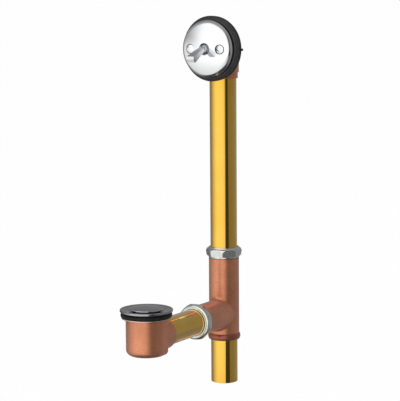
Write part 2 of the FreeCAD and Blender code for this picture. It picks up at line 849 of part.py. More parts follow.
def make_shoe_gasket():
    ring = turned([
        (flange_body_r + drain_thread_gap, shoe_top_z),
        (gasket_ring_r - 1.4, shoe_top_z),
        ((gasket_ring_r - 0.2, shoe_top_z + 0.8), (gasket_ring_r, shoe_top_z + 2.2)),
        (gasket_ring_r - 0.5, gasket_top_z),
        (flange_body_r + drain_thread_gap, gasket_top_z),
    ])
    ring.translate(Vector(0, drain_y, 0))
    return ring


def make_flange():
    low = gasket_top_z - flange_body_length
    edge = flange_edge_round
    flange = turned([
        (flange_bore_r, low),
        (flange_body_r - 0.8, low),
        (flange_body_r, low + 0.8),
        (flange_body_r, gasket_top_z),
        (flange_r - edge, gasket_top_z),
        ((flange_r, gasket_top_z + edge * 1.2), (flange_r - 0.5, flange_z - 0.3)),
        (flange_r - 1.3, flange_z),
        (flange_dish_r, flange_z - flange_dish_drop),
        (flange_bore_r, flange_z - flange_seat_drop),
    ])
    flange.translate(Vector(0, drain_y, 0))
    return flange


cap_low_z = flange_z - flange_dish_drop + cap_rise + 0.3
cap_top_z = cap_low_z + cap_edge + cap_crown
seal_top_z = cap_low_z


def make_cap():
    cap = turned([
        (0, cap_low_z),
        (cap_r - 0.5, cap_low_z),
        ((cap_r, cap_low_z + cap_edge / 2), (cap_r - 0.4, cap_low_z + cap_edge)),
        (crown_mid(cap_r - 0.4, cap_low_z + cap_edge, cap_top_z), (0, cap_top_z)),
    ])
    cap = cap.fuse(post(cap_boss_r, cap_low_z - cap_boss_length, cap_low_z))
    cap = cap.cut(post(stem_r, cap_low_z - cap_boss_length, cap_low_z))
    cap.translate(Vector(0, drain_y, 0))
    return cap


def make_seal():
    """Flat rubber ring under the cap, bevelled to sit just clear of the flange's seat."""
    slope = (flange_seat_drop - flange_dish_drop) / (flange_dish_r - flange_bore_r)
    seat_at_seal = flange_z - flange_dish_drop - slope * (flange_dish_r - seal_r)
    low_r = seal_r - 2.0
    low = seal_top_z - seal_thickness
    seal = turned([
        (cap_boss_r, seal_top_z),
        (seal_r, seal_top_z),
        (seal_r, max(seat_at_seal + seal_gap, low + 0.4)),
        (low_r, max(seat_at_seal + seal_gap - slope * 2.0, low)),
        (cap_boss_r, max(seat_at_seal + seal_gap - slope * 2.0, low)),
    ])
    seal.translate(Vector(0, drain_y, 0))
    return seal


guide_top_z = flange_z - guide_top_drop
guide_low_z = guide_top_z - guide_height


def make_guide():
    guide = post(guide_hub_r, guide_low_z, guide_top_z)
    reach = flange_bore_r - guide_bore_gap
    for turn in (45, 135):
        wing = Part.makeBox(
            2 * reach, 2 * guide_wing_half, guide_height,
            Vector(-reach, -guide_wing_half, guide_low_z))
        wing.rotate(Vector(0, 0, 0), Vector(0, 0, 1), turn)
        guide = guide.fuse(wing.common(post(reach, guide_low_z, guide_top_z)))
    guide = guide.cut(post(stem_r, guide_low_z, guide_top_z))
    guide.translate(Vector(0, drain_y, 0))
    return guide


def make_stem_nut():
    nut = prism(stem_nut_flats, 6, stem_nut_height).cut(post(stem_r, 0, stem_nut_height))
    nut.translate(Vector(0, drain_y, guide_low_z - stem_nut_height))
    return nut


def make_stem():
    """Threaded spindle with a fork at its foot for the rocker arm's eye."""
    fork_top = fork_z + fork_height
    stem = post(stem_r, fork_top - 1, cap_low_z)
    block = Part.makeBox(
        2 * fork_half_width, 2 * fork_half_depth, fork_height,
        Vector(-fork_half_width, -fork_half_depth, fork_z))
    stem = stem.fuse(block).fuse(cross_pin(fork_half_depth, fork_half_width, 0, fork_z))
    slot = rocker_eye_half_width + fork_slot_gap
    gap = Part.makeBox(
        2 * slot, 4 * fork_half_depth, fork_height - fork_roof + fork_half_depth + 1,
        Vector(-slot, -2 * fork_half_depth, fork_z - fork_half_depth - 1))
    stem = stem.cut(gap).cut(cross_pin(fork_pin_r, fork_half_width, 0, fork_z))
    stem.translate(Vector(0, drain_y, 0))
    return stem


def make_hinge_pin():
    return cross_pin(fork_pin_r, fork_half_width + 0.7, drain_y, fork_z)


def placed_up(shape, z):
    moved = shape.copy()
    moved.translate(Vector(0, 0, z))
    return moved


nodes = {
    "tailpiece": make_tailpiece(),
    "waste_tee": make_tee(),
    "tee_top_slip_washer": placed_up(slip_washer(), tee_top_z),
    "tee_top_slip_nut": placed_up(slip_nut(top_nut_turn), tee_top_z - nut_set_back),
    "tee_side_slip_washer": facing_bath(slip_washer(), branch_end_y, arm_z),
    "tee_side_slip_nut": facing_bath(slip_nut(side_nut_turn), branch_end_y + nut_set_back, arm_z),
    "overflow_tube": tube(riser_foot_z, riser_top_z),
    "overflow_elbow": make_elbow(),
    "overflow_gasket": make_gasket(),
    "overflow_face_plate": make_face_plate(),
    "face_plate_screws": make_screws(),
    "lever_bracket": make_bracket(),
    "lever_pivot_pin": make_pivot_pin(),
    "lever_tension_spring": make_tension_spring(),
    "trip_lever": make_lever(),
    "linkage_pin": make_linkage_pin(),
    "linkage_yoke": make_yoke(),
    "linkage_upper_rod": make_upper_rod(),
    "linkage_lock_nut": make_lock_nut(),
    "linkage_barrel": make_barrel(),
    "linkage_lower_rod": make_lower_rod(),
    "linkage_spring": make_coil(),
    "waste_arm_tube": facing_bath(tube(0, arm_back_y - arm_front_y), arm_back_y, arm_z),
    "rocker_arm": make_rocker(),
    "waste_shoe": make_shoe(),
    "shoe_gasket": make_shoe_gasket(),
    "drain_flange": make_flange(),
    "stopper_cap": make_cap(),
    "stopper_seal": make_seal(),
    "stopper_stem": make_stem(),
    "stopper_guide": make_guide(),
    "stopper_lock_nut": make_stem_nut(),
    "stopper_hinge_pin": make_hinge_pin(),
}

os.makedirs("parts", exist_ok=True)
for name, shape in nodes.items():
    shape.exportStep("parts/" + name + ".step")
    print(name, len(shape.Solids), round(shape.Volume / 1000, 2), shape.isValid())
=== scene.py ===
import math

import bmesh
import bpy
from mathutils import Matrix, Vector


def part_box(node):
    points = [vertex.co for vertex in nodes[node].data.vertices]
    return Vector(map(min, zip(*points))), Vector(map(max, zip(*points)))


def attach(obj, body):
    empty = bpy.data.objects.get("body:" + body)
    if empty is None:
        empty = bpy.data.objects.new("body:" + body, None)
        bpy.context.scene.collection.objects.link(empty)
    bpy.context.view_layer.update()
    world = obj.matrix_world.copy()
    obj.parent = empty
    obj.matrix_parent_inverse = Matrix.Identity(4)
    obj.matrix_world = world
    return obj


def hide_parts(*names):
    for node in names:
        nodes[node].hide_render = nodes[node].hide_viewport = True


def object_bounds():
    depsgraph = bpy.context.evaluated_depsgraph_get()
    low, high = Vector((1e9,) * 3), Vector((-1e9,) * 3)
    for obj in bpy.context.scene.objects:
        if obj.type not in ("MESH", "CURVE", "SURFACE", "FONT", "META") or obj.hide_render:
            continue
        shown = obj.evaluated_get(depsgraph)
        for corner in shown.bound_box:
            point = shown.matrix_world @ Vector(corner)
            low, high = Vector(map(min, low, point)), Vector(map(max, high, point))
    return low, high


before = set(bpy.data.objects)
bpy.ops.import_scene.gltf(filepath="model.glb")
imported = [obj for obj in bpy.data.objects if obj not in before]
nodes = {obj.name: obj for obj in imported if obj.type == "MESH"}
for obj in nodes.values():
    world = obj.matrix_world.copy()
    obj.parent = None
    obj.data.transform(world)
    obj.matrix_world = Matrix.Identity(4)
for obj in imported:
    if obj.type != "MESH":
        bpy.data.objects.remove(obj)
cadLow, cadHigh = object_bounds()
scene = bpy.context.scene
scene.view_settings.view_transform = "Standard"
print("frame loaded", len(nodes), "nodes")

millimetre = 0.001  # in metres, which Blender works in


# sRGB hex colour to linear RGBA
def toLinear(text):
    values = [int(text[i:i + 2], 16) / 255 for i in (0, 2, 4)]
    return [v / 12.92 if v <= 0.04045 else ((v + 0.055) / 1.055) ** 2.4 for v in values] + [1.0]


# Settings are a node's own properties, or a colour ramp's stops; an input takes a value, a socket or a node. A
# colour mix has sockets that share a name, so its factor and colours are inputs 0, 6 and 7, and its result is
# output 2.
def addNode(tree, kind, settings=None, inputs=None):
    node = tree.nodes.new(kind)
    for name, value in (settings or {}).items():
        if name == "stops":
            elements = node.color_ramp.elements
            for i, (place, colour) in enumerate(value):
                element = elements[i] if i < 2 else elements.new(place)
                element.position = place
                element.color = toLinear(colour) if isinstance(colour, str) else colour
        else:
            setattr(node, name, value)
    for name, value in (inputs or {}).items():
        source = value.outputs[0] if isinstance(value, bpy.types.Node) else value
        if isinstance(source, bpy.types.NodeSocket):
            tree.links.new(source, node.inputs[name])
        else:
            node.inputs[name].default_value = source
    return node


def addObject(name, data):
    piece = bpy.data.objects.new(name, data)
    scene.collection.objects.link(piece)
    return piece


# Builds a material from a look. Its patterns are noise on object coordinates: grain size in millimetres, detail,
# roughness, and how far the grain is drawn out along X, Y and Z. A product is two patterns multiplied. The first
# tone is the colour and the next ones darken it. Polish is the least and most roughness, and relief is a depth in
# millimetres and a strength.
def makeMaterial(name, look):
    material = bpy.data.materials.new(name)
    material.use_nodes = True
    tree = material.node_tree
    tree.nodes.clear()
    coords = addNode(tree, "ShaderNodeTexCoord").outputs["Object"]
    patterns = {}
    for key, (grain, detail, rough, stretch) in look["patterns"].items():
        mapping = addNode(tree, "ShaderNodeMapping", {}, {
            "Vector": coords, "Scale": [1 / (grain * millimetre * along) for along in stretch]})
        patterns[key] = addNode(tree, "ShaderNodeTexNoise", {}, {
            "Vector": mapping, "Scale": 1.0, "Detail": detail, "Roughness": rough})
    for key, (first, second) in look.get("products", {}).items():
        patterns[key] = addNode(tree, "ShaderNodeMath", {"operation": "MULTIPLY"}, {
            0: patterns[first], 1: patterns[second]})
    layers = [addNode(tree, "ShaderNodeValToRGB", {"stops": stops}, {"Fac": patterns[key]})
              for key, stops in look["tones"]]
    # a darker mauve tint below a given height, clearing above it, where the look has one
    if "footTint" in look:
        shade, foot, clear = look["footTint"]
        height = addNode(tree, "ShaderNodeSeparateXYZ", {}, {0: coords}).outputs["Z"]
        cleared = addNode(tree, "ShaderNodeMapRange", {"interpolation_type": "SMOOTHSTEP"}, {
            "Value": height, "From Min": foot * millimetre, "From Max": clear * millimetre})
        layers.append(addNode(tree, "ShaderNodeMix", {"data_type": "RGBA"}, {
            0: cleared, 6: toLinear(shade), 7: toLinear("FFFFFF")}).outputs[2])
    tone = layers[0]
    for layer in layers[1:]:
        tone = addNode(tree, "ShaderNodeMix", {"data_type": "RGBA", "blend_type": "MULTIPLY"}, {
            0: 1.0, 6: tone, 7: layer}).outputs[2]
    surface = {**look["surface"], "Base Color": tone}
    if "polish" in look:
        key, polished, dull = look["polish"]
        surface["Roughness"] = addNode(tree, "ShaderNodeMapRange", {}, {
            "Value": patterns[key], "To Min": polished, "To Max": dull})
    key, depth, strength = look["relief"]
    surface["Normal"] = addNode(tree, "ShaderNodeBump", {}, {
        "Height": patterns[key], "Distance": depth * millimetre, "Strength": strength})
    shader = addNode(tree, "ShaderNodeBsdfPrincipled", {}, surface)
    addNode(tree, "ShaderNodeOutputMaterial", {}, {"Surface": shader})
    return material


even = (1, 1, 1)  # a grain that isn't drawn out
metal = {"Metallic": 1.0}

# Drawn brass: polished tube with fine lines along its length and a faint bloom of tarnish. The lines are drawn
# coarser than real ones so that they show.
drawnBrass = {
    "surface": {**metal, "Sheen Weight": 0.5, "Sheen Roughness": 0.4},
    "patterns": {"lines": (0.5, 2, 0.6, (1, 1, 60)), "bloom": (50, 3, 0.6, even)},
    "products": {"wear": ("lines", "bloom")},
    "tones": [("bloom", [(0.35, "FBCC5A"), (0.75, "F6C04C")])],
    "polish": ("wear", 0.02, 0.07),
    "relief": ("lines", 0.0015, 0.5),
}
# the tube that lies level has its lines along Y
levelPatterns = {**drawnBrass["patterns"], "lines": (0.5, 2, 0.6, (1, 60, 1))}

# Sand-cast brass: copper-coloured and tumbled, with darker pits and the sand's grain, a little coarsened
castBrass = {
    "surface": {"Metallic": 0.9, "Sheen Weight": 0.2, "Sheen Roughness": 0.6},
    "patterns": {
        "grain": (1.4, 4, 0.6, even), "patch": (30, 3, 0.6, even), "fine": (0.5, 3, 0.7, even)},
    "products": {"pits": ("grain", "fine")},
    "tones": [("grain", [(0.30, "D88762"), (0.50, "EC9B73"), (0.78, "F2A882")]),
              ("patch", [(0.3, "E6E6E6"), (0.7, "FFFFFF")])],
    # the tee's brazed foot is tinted darker and mauve below a height: its colour, and the heights where that starts
    # to clear and is gone
    "footTint": ("C3ADB8", 71.2, 73.2),
    "polish": ("fine", 0.3, 0.44),
    "relief": ("pits", 0.04, 0.8),
}

# Nickel plate over a casting: pale, softly polished, with shallow cast ripples
nickelPlate = {
    "surface": metal,
    "patterns": {"ripple": (4, 3, 0.5, even), "speck": (0.7, 2, 0.5, even)},
    "tones": [("ripple", [(0.3, "DEE4DE"), (0.6, "F1F5F0")])],
    "polish": ("speck", 0.08, 0.2),
    "relief": ("ripple", 0.05, 0.5),
}

# Chrome plate: mirror finish with faint buffing lines, drawn coarser than real ones so that they show
chromePlate = {
    "surface": metal,
    "patterns": {"cloud": (12, 3, 0.6, even), "buff": (1.6, 2, 0.5, (6, 1, 1))},
    "tones": [("cloud", [(0.3, "FAFAFB"), (0.75, "F4F5F6")])],
    "polish": ("buff", 0.035, 0.09),
    "relief": ("buff", 0.002, 0.3),
}
# the lever's plate lies on a casting and is softer, and the drain's is dark
leverPlate = {
    **chromePlate, "tones": [("cloud", [(0.3, "ECEDEF"), (0.75, "DCDDE0")])], "polish": ("buff", 0.195, 0.25)}
drainPlate = {**chromePlate, "tones": [("cloud", [(0.3, "B9B8BE"), (0.75, "A4A3AA")])]}

# Moulded black rubber: matt, finely grained, a little dusty
blackRubber = {
    "surface": {"Metallic": 0.0, "IOR": 1.6, "Specular IOR Level": 0.55},
    "patterns": {"grain": (0.6, 3, 0.6, even), "patch": (12, 3, 0.6, even)},
    "tones": [("patch", [(0.3, "151517"), (0.8, "29292B")])],
    "polish": ("grain", 0.36, 0.55),
    "relief": ("grain", 0.04, 0.6),
}
# a duller copy of the rubber, for the gasket under the flange, the cap's seal and the collar under the plate's rim:
# painted shade, darker where these sit under other parts
shadedRubberLook = {**blackRubber, "surface": {**blackRubber["surface"], "Specular IOR Level": 0.15}}

# Moulded nylon for the slip washers: pale and faintly grained
washerNylon = {
    "surface": {"Metallic": 0.0, "IOR": 1.5, "Roughness": 0.45},
    "patterns": {"grain": (0.8, 3, 0.6, even)},
    "tones": [("grain", [(0.3, "D6D3C8"), (0.7, "E4E2DA")])],
    "relief": ("grain", 0.02, 0.4),
}

# Zinc plate on steel: satin, brushed along Y
zincPlate = {
    "surface": metal,
    "patterns": {"brush": (0.4, 2, 0.6, (1, 30, 1))},
    "tones": [("brush", [(0.3, "9FA2A5"), (0.7, "C4C6C8")])],
    "polish": ("brush", 0.25, 0.42),
    "relief": ("brush", 0.006, 0.5),
}
# blank spring strip is darker and smoother, and a machined brass face paler, warm and duller
springStrip = {
    **zincPlate, "tones": [("brush", [(0.3, "6D7075"), (0.7, "8E9196")])], "polish": ("brush", 0.2, 0.35)}
machinedBrass = {
    **zincPlate, "tones": [("brush", [(0.3, "E2BDA6"), (0.7, "F6DCCB")])], "polish": ("brush", 0.3, 0.42)}

# Turned brass rod: fine lathe rings across the rod, coarsened so that they show
turnedBrass = {
    "surface": metal,
    "patterns": {"rings": (0.35, 2, 0.6, (25, 25, 1))},
    "tones": [("rings", [(0.3, "BE8C3A"), (0.7, "E3B45A")])],
    "polish": ("rings", 0.18, 0.34),
    "relief": ("rings", 0.008, 0.5),
}

uprightBrass = makeMaterial("drawnBrassUpright", drawnBrass)
levelBrass = makeMaterial("drawnBrassLevel", {**drawnBrass, "patterns": levelPatterns})
casting = makeMaterial("sandCastBrass", castBrass)
nickel = makeMaterial("nickelPlatedCasting", nickelPlate)
plateChrome = makeMaterial("mirrorChrome", chromePlate)
leverChrome = makeMaterial("castLeverChrome", leverPlate)
drainChrome = makeMaterial("darkChrome", drainPlate)
rubber = makeMaterial("mouldedRubber", blackRubber)
# the shaded copy of the rubber: its lower shine is painted shade
shadedRubber = makeMaterial("shadedMouldedRubber", shadedRubberLook)
nylon = makeMaterial("mouldedNylon", washerNylon)
machined = makeMaterial("machinedBrassLip", machinedBrass)
zinc = makeMaterial("zincPlatedSteel", zincPlate)
spring = makeMaterial("springSteelStrip", springStrip)
turned = makeMaterial("turnedBrassRod", turnedBrass)
print("materials made")

# What each node is finished in; the rods and the plug's works, which aren't named here, are turned brass
looks = {
    "tailpiece": uprightBrass, "overflow_tube": uprightBrass, "waste_arm_tube": levelBrass,
    "waste_tee": casting, "overflow_elbow": casting, "waste_shoe": casting,
    "tee_top_slip_nut": nickel, "tee_side_slip_nut": nickel,
    "overflow_face_plate": plateChrome, "face_plate_screws": plateChrome, "trip_lever": leverChrome,
    "drain_flange": drainChrome, "stopper_cap": drainChrome,
    "overflow_gasket": rubber, "shoe_gasket": shadedRubber, "stopper_seal": shadedRubber,
    "tee_top_slip_washer": nylon, "tee_side_slip_washer": nylon,
    "lever_bracket": zinc, "lever_pivot_pin": zinc, "linkage_pin": zinc,
    "lever_tension_spring": spring,
}
for nodeName, node in nodes.items():
    node.data.materials.clear()
    node.data.materials.append(looks.get(nodeName, turned))

# Made pieces: each is built from sizes in millimetres and stands for the plain solid in its place
broadSteps, drainSteps, plainSteps, smallSteps, shankSteps = 240, 200, 180, 96, 48  # steps round a turned piece
metalCrease, rubberCrease = 30, 50  # degrees between two faces past which their edge is sharp
mergeGap, weldGap = 0.000001, 0.000003  # metres within which points become one
facingBath = (math.radians(90), 0, 0)  # the tilt that lays an upright axis towards the bath
plateCentre = (0, -40.2, 480.4)


# Points on the arc through three points, without the first
def arcPoints(start, middle, end, count):
    ax, ay = start
    bx, by = middle
    cx, cy = end
    d = 2 * (ax * (by - cy) + bx * (cy - ay) + cx * (ay - by))
    a, b, c = ax * ax + ay * ay, bx * bx + by * by, cx * cx + cy * cy
    ux = (a * (by - cy) + b * (cy - ay) + c * (ay - by)) / d
    uy = (a * (cx - bx) + b * (ax - cx) + c * (bx - ax)) / d
    radius = math.hypot(ax - ux, ay - uy)
    first = math.atan2(ay - uy, ax - ux)
    last = math.atan2(cy - uy, cx - ux)
    sweep = (last - first + math.pi) % (2 * math.pi) - math.pi
    angles = [first + sweep * i / count for i in range(1, count + 1)]
    return [(ux + radius * math.cos(angle), uy + radius * math.sin(angle)) for angle in angles]


# Points that stand off from one radius and height
def pointsFrom(radius, height, offsets):
    return [(radius + out, height + rise) for out, rise in offsets]


def takeMesh(piece):
    graph = bpy.context.evaluated_depsgraph_get()
    mesh = bpy.data.meshes.new_from_object(piece.evaluated_get(graph))
    piece.modifiers.clear()
    return mesh


def smoothMesh(mesh, crease):
    for face in mesh.polygons:
        face.use_smooth = True
    mesh.set_sharp_from_angle(angle=math.radians(crease))


# Geometry tree with named inputs
def startTree(name, inputs):
    tree = bpy.data.node_groups.new(name, "GeometryNodeTree")
    tree.is_modifier = True
    tree.interface.new_socket("Geometry", in_out="INPUT", socket_type="NodeSocketGeometry")
    for label, kind in inputs.items():
        tree.interface.new_socket(label, in_out="INPUT", socket_type="NodeSocket" + kind)
    tree.interface.new_socket("Geometry", in_out="OUTPUT", socket_type="NodeSocketGeometry")
    return tree, addNode(tree, "NodeGroupInput").outputs


# Moves and tilts what a tree has made, realizes it and gives it its material
def finishTree(tree, given, geometry):
    moved = addNode(tree, "GeometryNodeTransform", {}, {
        "Geometry": geometry, "Translation": given["Place"], "Rotation": given["Tilt"]})
    whole = addNode(tree, "GeometryNodeRealizeInstances", {}, {"Geometry": moved})
    finished = addNode(tree, "GeometryNodeSetMaterial", {}, {"Geometry": whole, "Material": given["Finish"]})
    addNode(tree, "NodeGroupOutput", {}, {0: finished})
    return tree


# Turns a profile, whose X is a radius and Z a height, round its axis. Where it stands further out than a polygon
# of flats, it is cut to them; the draft leans the flats outwards with height.
def makeTurnedTree():
    tree, given = startTree("turnedPiece", {
        "Steps Around": "Int", "Sides": "Float", "Half Flat": "Float", "Draft": "Float", "First Corner": "Float",
        "Edge Softness": "Float", "Crease": "Float",
        "Place": "Vector", "Tilt": "Rotation", "Finish": "Material"})
    position = addNode(tree, "GeometryNodeInputPosition")
    grid = addNode(tree, "ShaderNodeSeparateXYZ", {}, {0: position}).outputs
    profile = given["Geometry"]
    size = addNode(tree, "GeometryNodeAttributeDomainSize", {"component": "MESH"}, {"Geometry": profile}).outputs
    sample = addNode(tree, "GeometryNodeSampleIndex", {"data_type": "FLOAT_VECTOR", "domain": "POINT"}, {
        "Geometry": profile, "Value": position})
    outline = addNode(tree, "ShaderNodeSeparateXYZ", {}, {0: sample}).outputs
    values = {**dict(given.items()), "gridX": grid["X"], "gridY": grid["Y"], "count": size["Point Count"],
              "outlineRadius": outline["X"], "outlineHeight": outline["Z"]}
    sums = [  # each row names a result, what is done, and with what
        ("columns", "ADD", "Steps Around", 1),
        ("upShare", "ADD", "gridY", 0.5), ("lastRow", "SUBTRACT", "count", 1),
        ("row", "MULTIPLY", "upShare", "lastRow"), ("index", "ROUND", "row"),
        ("roundShare", "ADD", "gridX", 0.5), ("turn", "MULTIPLY", "roundShare", 2 * math.pi),
        ("sector", "DIVIDE", 2 * math.pi, "Sides"), ("fromFirst", "SUBTRACT", "turn", "First Corner"),
        ("fromCorner", "FLOORED_MODULO", "fromFirst", "sector"), ("halfSector", "MULTIPLY", "sector", 0.5),
        ("fromFlat", "SUBTRACT", "fromCorner", "halfSector"), ("lean", "COSINE", "fromFlat"),
        ("flat", "MULTIPLY_ADD", "outlineHeight", "Draft", "Half Flat"), ("reach", "DIVIDE", "flat", "lean"),
        ("radius", "SMOOTH_MIN", "outlineRadius", "reach", "Edge Softness"),
        ("cosine", "COSINE", "turn"), ("x", "MULTIPLY", "radius", "cosine"),
        ("sine", "SINE", "turn"), ("y", "MULTIPLY", "radius", "sine"),
    ]
    for key, operation, *terms in sums:
        values[key] = addNode(tree, "ShaderNodeMath", {"operation": operation}, {
            i: values.get(term, term) for i, term in enumerate(terms)})
    tree.links.new(values["index"].outputs[0], sample.inputs["Index"])
    sheet = addNode(tree, "GeometryNodeMeshGrid", {}, {
        "Size X": 1.0, "Size Y": 1.0, "Vertices X": values["columns"], "Vertices Y": values["count"]})
    spot = addNode(tree, "ShaderNodeCombineXYZ", {}, {"X": values["x"], "Y": values["y"], "Z": outline["Z"]})
    shaped = addNode(tree, "GeometryNodeSetPosition", {}, {"Geometry": sheet, "Position": spot})
    joined = addNode(tree, "GeometryNodeMergeByDistance", {}, {"Geometry": shaped, "Distance": mergeGap})
    smooth = addNode(tree, "GeometryNodeSetShadeSmooth", {"domain": "FACE"}, {"Geometry": joined})
    angle = addNode(tree, "GeometryNodeInputMeshEdgeAngle").outputs["Unsigned Angle"]
    sharp = addNode(tree, "FunctionNodeCompare", {"data_type": "FLOAT", "operation": "GREATER_THAN"}, {
        0: angle, 1: given["Crease"]})
    creased = addNode(tree, "GeometryNodeSetShadeSmooth", {"domain": "EDGE"}, {
        "Geometry": smooth, "Selection": sharp, "Shade Smooth": False})
    return finishTree(tree, given, creased)


# Repeats a piece on two points either side of the middle
def makePairTree():
    tree, given = startTree("pieceEachSide", {
        "Offset": "Float", "Place": "Vector", "Tilt": "Rotation", "Finish": "Material"})
    left = addNode(tree, "ShaderNodeMath", {"operation": "MULTIPLY"}, {0: given["Offset"], 1: -1.0})
    apart = addNode(tree, "ShaderNodeMath", {"operation": "MULTIPLY"}, {0: given["Offset"], 1: 2.0})
    start = addNode(tree, "ShaderNodeCombineXYZ", {}, {"X": left})
    step = addNode(tree, "ShaderNodeCombineXYZ", {}, {"X": apart})
    line = addNode(tree, "GeometryNodeMeshLine", {}, {"Count": 2, "Start Location": start, "Offset": step})
    copies = addNode(tree, "GeometryNodeInstanceOnPoints", {}, {"Points": line, "Instance": given["Geometry"]})
    return finishTree(tree, given, copies)


turnedTree = makeTurnedTree()
pairTree = makePairTree()


# Runs a tree on a base, with its inputs set by name, and keeps the result as a plain mesh piece
def applyTree(name, base, tree, values):
    modifier = base.modifiers.new(tree.name, "NODES")
    modifier.node_group = tree
    for item in tree.interface.items_tree:
        if item.in_out == "INPUT" and item.name in values:
            modifier[item.identifier] = values[item.name]
    mesh = takeMesh(base)
    mesh.name = name
    piece = addObject(name, mesh)
    bpy.data.objects.remove(base)
    return piece


# On a plain turned piece the flats are a metre out, where they cut nothing
noFlats = {"Sides": 8.0, "Half Flat": 1.0, "Draft": 0.0, "First Corner": 0.0, "Edge Softness": 0.0}


# Turned piece from a profile in millimetres
def turnPiece(name, points, material, steps=plainSteps, place=(0, 0, 0), tilt=(0, 0, 0), crease=metalCrease,
              flats=noFlats):
    mesh = bpy.data.meshes.new(name + "Profile")
    edges = [(i, i + 1) for i in range(len(points) - 1)]
    mesh.from_pydata([(radius * millimetre, 0, height * millimetre) for radius, height in points], edges, [])
    return applyTree(name, addObject(name + "Profile", mesh), turnedTree, {
        "Steps Around": steps, **flats, "Crease": math.radians(crease),
        "Place": [v * millimetre for v in place], "Tilt": tilt, "Finish": material})


def pairPiece(name, base, offset, material):
    return applyTree(name, base, pairTree, {
        "Offset": offset * millimetre,
        "Place": [v * millimetre for v in plateCentre], "Tilt": facingBath, "Finish": material})


# Block between two corners in millimetres, bevelled where a bevel is given
def boxPiece(name, low, high, material, bevel=0.0):
    mesh = bpy.data.meshes.new(name)
    body = bmesh.new()
    bmesh.ops.create_cube(body, size=1.0)
    for vert in body.verts:
        vert.co = Vector([(a if c < 0 else b) * millimetre for a, b, c in zip(low, high, vert.co)])
    if bevel:
        bmesh.ops.bevel(
            body, geom=list(body.edges), offset=bevel * millimetre, segments=3, profile=0.5, affect="EDGES")
    body.to_mesh(mesh)
    body.free()
    mesh.materials.append(material)
    return addObject(name, mesh)


# Adds, cuts away or keeps what is shared with other solids, which are used up, and leaves one closed mesh
def joinSolids(piece, others, operation, crease=metalCrease):
    for other in others:
        modifier = piece.modifiers.new("solid", "BOOLEAN")
        modifier.operation = operation
        modifier.solver = "EXACT"
        modifier.object = other
    mesh = takeMesh(piece)
    piece.data = mesh
    mesh.name = piece.name
    for other in others:
        bpy.data.objects.remove(other)
    body = bmesh.new()
    body.from_mesh(mesh)
    bmesh.ops.remove_doubles(body, verts=body.verts, dist=weldGap)
    bmesh.ops.dissolve_degenerate(body, edges=body.edges, dist=weldGap)
    openEdges = [edge for edge in body.edges if len(edge.link_faces) == 1]
    bmesh.ops.holes_fill(body, edges=openEdges, sides=0)
    body.to_mesh(mesh)
    body.free()
    smoothMesh(mesh, crease)
    return piece


# Slip nuts: a round lip at the foot, eight flats on a domed barrel, and a lid with a rolled lip round the tube.
# Pairs are a radius and a height; lists are points that stand off from the radius and height named beside them.
slipNut = {
    "bore": 20.65, "boreTop": 14.2, "chamfer": 0.4, "hole": 19.4,
    "foot": 21.9, "footLip": 2.6, "footEdge": [(-0.9, 0), (-0.75, 0.12), (0, 1.15)],  # from the foot's radius
    "footBulge": 0.08, "bulgeHeight": 0.75, "footTuck": -0.05,  # its height is a share of the foot's lip
    "footNeck": [(0.15, 0.2), (1.4, 0.5)],  # from the top of the foot's lip
    "rise": (25.5, 4.6), "belly": (26.0, 7.4), "swell": (25.85, 10.2), "shoulder": (25.0, 12.4),
    "corner": (24.6, 13.2), "lidEdge": (23.9, 13.9), "lidIn": (23.0, 14.5),
    "lipOuter": 21.7, "lipTop": 16.2,
    "lipRoll": [(0.75, -1.3), (0.45, -1.4), (0.2, -1.4), (0.05, -1.15), (0, -0.7), (-0.25, -0.25), (-0.7, 0)],
    "holeEdge": [(0.5, 0), (0.15, -0.15), (0, -0.5)],  # from the hole's radius and the lip's top
    "sides": 8.0, "halfFlat": 22.4, "draft": 0.14, "softness": 0.3,
    "footPoints": 6, "barrelPoints": 10, "lidPoints": 5,
}
# the side nut's casting is rounder and has a broader lid
roundNut = {
    **slipNut, "boreTop": 14.6, "rise": (24.9, 5.0), "belly": (25.75, 7.8), "swell": (25.55, 10.4),
    "shoulder": (24.6, 13.2), "corner": (24.4, 14.3), "lidEdge": (23.9, 14.9), "lidIn": (23.3, 15.25),
    "lipTop": 17.05, "halfFlat": 23.35, "draft": 0.11,
}


def nutProfile(n):
    bore, foot, lip, hole = n["bore"], n["foot"], n["footLip"], n["hole"]
    points = [(bore, n["boreTop"]), (bore, n["chamfer"]), (bore + n["chamfer"], 0)]
    points += pointsFrom(foot, 0, n["footEdge"])
    bulge = (foot + n["footBulge"], lip * n["bulgeHeight"])
    points += arcPoints(points[-1], bulge, (foot + n["footTuck"], lip), n["footPoints"])
    points += pointsFrom(foot, lip, n["footNeck"])
    points += arcPoints(points[-1], n["rise"], n["belly"], n["barrelPoints"])
    points += arcPoints(n["belly"], n["swell"], n["shoulder"], n["barrelPoints"])
    points += arcPoints(n["shoulder"], n["corner"], n["lidEdge"], n["lidPoints"]) + [n["lidIn"]]
    points += pointsFrom(n["lipOuter"], n["lipTop"], n["lipRoll"])
    points += pointsFrom(hole, n["lipTop"], n["holeEdge"])
    return points + [(hole, n["boreTop"]), points[0]]


# The first corner's angle is in degrees
def makeNut(name, node, sizes, firstCorner, place, tilt):
    flats = {"Sides": sizes["sides"], "Half Flat": sizes["halfFlat"] * millimetre, "Draft": sizes["draft"],
             "First Corner": math.radians(firstCorner), "Edge Softness": sizes["softness"] * millimetre}
    piece = turnPiece(name, nutProfile(sizes), nickel, broadSteps, place, tilt, flats=flats)
    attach(piece, "waste")
    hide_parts(node)
    return piece


topNut = makeNut("topSlipNut", "tee_top_slip_nut", slipNut, 28.0, (0, 0, 180.8), (0, 0, 0))
sideNut = makeNut("sideSlipNut", "tee_side_slip_nut", roundNut, 22.5, (0, -68.0, 100.8), facingBath)
print("slip nuts made", len(topNut.data.polygons), "and", len(sideNut.data.polygons), "faces")

